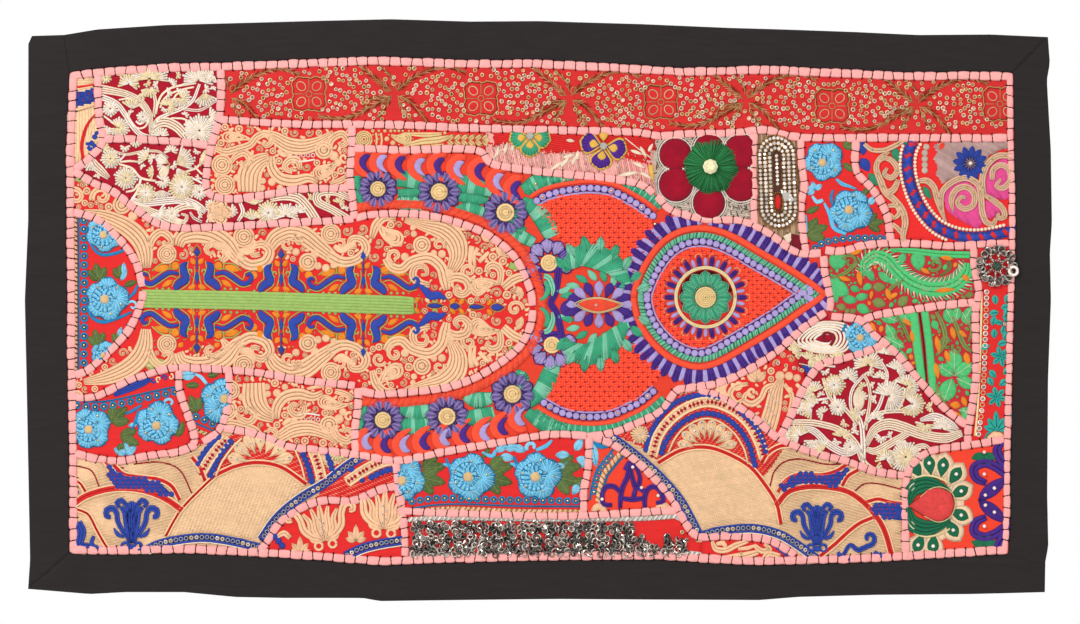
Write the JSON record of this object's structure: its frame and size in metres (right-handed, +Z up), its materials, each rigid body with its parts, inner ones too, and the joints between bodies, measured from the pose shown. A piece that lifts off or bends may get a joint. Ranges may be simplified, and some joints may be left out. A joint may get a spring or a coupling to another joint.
{
  "type": "patchwork wall hanging, embroidered, with a black cotton border",
  "caption": "Landscape patchwork wall hanging of embroidered cloth, its seams covered by couched braid, inside a folded black cotton border.",
  "frame": {"origin": "middle of the top edge, at the mean depth of the cloth", "axes": "+X to the right along the length, +Z up, and the embroidered face looks along -Y"},
  "size_m": [1.0266, 0.0151, 0.581],
  "materials": {
    "black_cotton": "matt plain-weave cotton, faded charcoal black",
    "patchwork": "red and coral cotton and satin ground cloth",
    "embroidery": "soft matt stitching thread with a slight sheen",
    "gold_thread": "metallic wrapped thread",
    "braid": "smooth padded cotton braid, salmon pink",
    "stitch_thread": "dark maroon sewing thread",
    "velvet": "crimson pile velvet",
    "wool_thread": "green wound thread",
    "stone": "faceted, pale yellow",
    "beads": "clear stones and gold seed beads",
    "sequins": "silvered cups",
    "silver_beads": "tarnished silver-coloured metal"
  },
  "bodies": {
    "root": {"bead_flower": "silver_beads", "bead_oval": "beads", "bead_ring": "silver_beads", "border_bottom": "black_cotton", "border_left": "black_cotton", "border_right": "black_cotton", "border_top": "black_cotton", "braid_arch_foot": "braid", "braid_arch_top": "braid", "braid_bead_left": "braid", "braid_bead_right": "braid", "braid_blossom_edge": "braid", "braid_blue_post": "braid", "braid_corner_side": "braid", "braid_cream_foot": "braid", "braid_cream_side": "braid", "braid_cream_step": "braid", "braid_drop_bottom": "braid", "braid_drop_tip": "braid", "braid_drop_top": "braid", "braid_edge_bottom": "braid", "braid_edge_left": "braid", "braid_edge_right": "braid", "braid_edge_top": "braid", "braid_fan_top": "braid", "braid_fern_middle": "braid", "braid_fern_side": "braid", "braid_fern_top": "braid", "braid_garden_bottom": "braid", "braid_garden_foot": "braid", "braid_garden_top": "braid", "braid_lotus_side": "braid", "braid_lotus_top": "braid", "braid_rose_arc_bottom": "braid", "braid_rose_arc_top": "braid", "braid_rose_hook": "braid", "braid_rose_post": "braid", "braid_rose_side": "braid", "braid_scroll_post": "braid", "braid_scroll_side": "braid", "braid_sequin_top": "braid", "braid_tree_left": "braid", "braid_tree_right": "braid", "braid_under_satin": "braid", "braid_wing_left": "braid", "braid_wing_top": "braid", "field": "patchwork", "petal_bottom": "velvet", "petal_lower_left": "velvet", "petal_lower_right": "velvet", "petal_top": "velvet", "petal_upper_left": "velvet", "petal_upper_right": "velvet", "rosette_stone": "stone", "sequin_band": "sequins", "thread_rosette": "wool_thread"}
  },
  "joints": []
}
